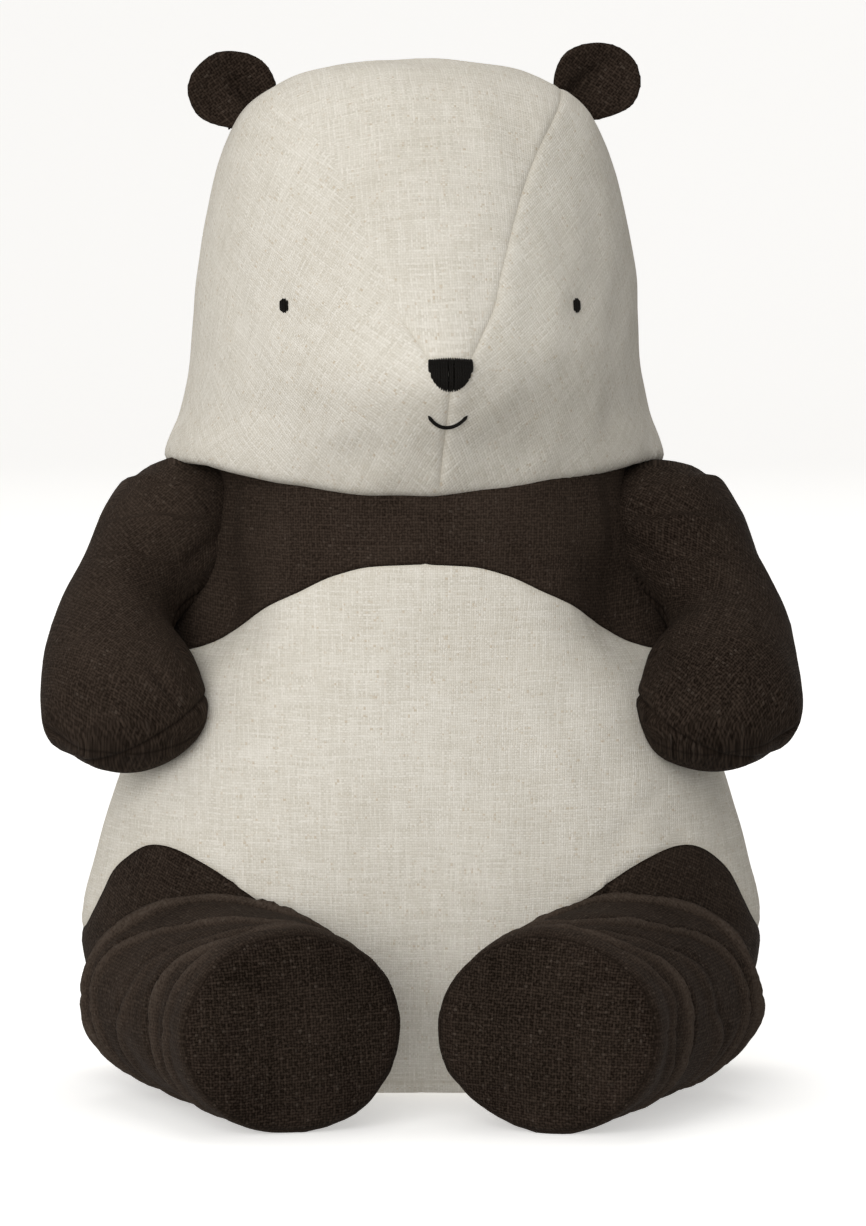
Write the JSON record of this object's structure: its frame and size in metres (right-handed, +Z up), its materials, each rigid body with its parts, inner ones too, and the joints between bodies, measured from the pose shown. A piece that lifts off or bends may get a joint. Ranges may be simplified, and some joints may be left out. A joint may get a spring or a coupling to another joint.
{
  "type": "sitting plush panda",
  "caption": "Sitting soft toy bear in natural and charcoal linen with sewn seams, an embroidered face, stuffed arms and legs, and a flat seat.",
  "frame": {"origin": "middle of the flat seat, on the floor", "axes": "+Z up, -Y the way the toy faces, +X to the toy's own left"},
  "size_m": [0.1844, 0.1722, 0.2563],
  "materials": {
    "natural_linen": "matte",
    "charcoal_linen": "matte",
    "black_thread": "satin",
    "polyester_filling": "matte",
    "pellet_bag": "matte"
  },
  "bodies": {
    "torso": {"belly_panel": "natural_linen", "chest_band": "charcoal_linen", "back_yoke": "charcoal_linen", "back_panel_left": "natural_linen", "back_panel_right": "natural_linen", "hip_patch_left": "charcoal_linen", "hip_patch_right": "charcoal_linen", "seat_panel_left": "natural_linen", "seat_panel_right": "natural_linen", "torso_filling": "polyester_filling", "pellet_pouch": "pellet_bag"},
    "head": {"head_gusset": "natural_linen", "head_side_left": "natural_linen", "head_side_right": "natural_linen", "eye_left": "black_thread", "eye_right": "black_thread", "nose_embroidery": "black_thread", "mouth_embroidery": "black_thread", "head_filling": "polyester_filling"},
    "ear_left": {"ear_front_left": "charcoal_linen", "ear_back_left": "charcoal_linen"},
    "arm_left": {"arm_front_panel_left": "charcoal_linen", "arm_back_panel_left": "charcoal_linen", "paw_pad_left": "charcoal_linen", "arm_filling_left": "polyester_filling"},
    "leg_left": {"leg_upper_panel_left": "charcoal_linen", "leg_lower_panel_left": "charcoal_linen", "sole_left": "charcoal_linen", "leg_filling_left": "polyester_filling"},
    "ear_right": {"ear_front_right": "charcoal_linen", "ear_back_right": "charcoal_linen"},
    "arm_right": {"arm_front_panel_right": "charcoal_linen", "arm_back_panel_right": "charcoal_linen", "paw_pad_right": "charcoal_linen", "arm_filling_right": "polyester_filling"},
    "leg_right": {"leg_upper_panel_right": "charcoal_linen", "leg_lower_panel_right": "charcoal_linen", "sole_right": "charcoal_linen", "leg_filling_right": "polyester_filling"}
  },
  "joints": [
    {"name": "head_turn", "type": "hinge", "parent": "torso", "child": "head", "pos_m": [-0.0015, 0, 0.151], "axis": [0, 0, 1], "range_deg": [-30, 17], "stiffness_Nm_per_rad": 0.3},
    {"name": "ear_fold_left", "type": "hinge", "parent": "head", "child": "ear_left", "pos_m": [0.03569, 0.00927, 0.2437], "axis": [-0.7499, -0.0854, 0.6561], "range_deg": [-18, 18], "stiffness_Nm_per_rad": 0.01},
    {"name": "arm_lift_left", "type": "hinge", "parent": "torso", "child": "arm_left", "pos_m": [0.054, -0.004, 0.1336], "axis": [-1, 0, 0], "range_deg": [0, 42], "stiffness_Nm_per_rad": 0.3},
    {"name": "leg_swing_left", "type": "hinge", "parent": "torso", "child": "leg_left", "pos_m": [0.052, -0.042, 0.025], "axis": [1, 0, 0], "range_deg": [-12, 28], "stiffness_Nm_per_rad": 0.5},
    {"name": "ear_fold_right", "type": "hinge", "parent": "head", "child": "ear_right", "pos_m": [-0.03982, 0.00067, 0.2437], "axis": [0.7499, 0.0854, 0.6561], "range_deg": [-18, 18], "stiffness_Nm_per_rad": 0.01},
    {"name": "arm_lift_right", "type": "hinge", "parent": "torso", "child": "arm_right", "pos_m": [-0.054, -0.004, 0.1336], "axis": [-1, 0, 0], "range_deg": [0, 42], "stiffness_Nm_per_rad": 0.3},
    {"name": "leg_swing_right", "type": "hinge", "parent": "torso", "child": "leg_right", "pos_m": [-0.052, -0.042, 0.025], "axis": [1, 0, 0], "range_deg": [-12, 28], "stiffness_Nm_per_rad": 0.5}
  ]
}
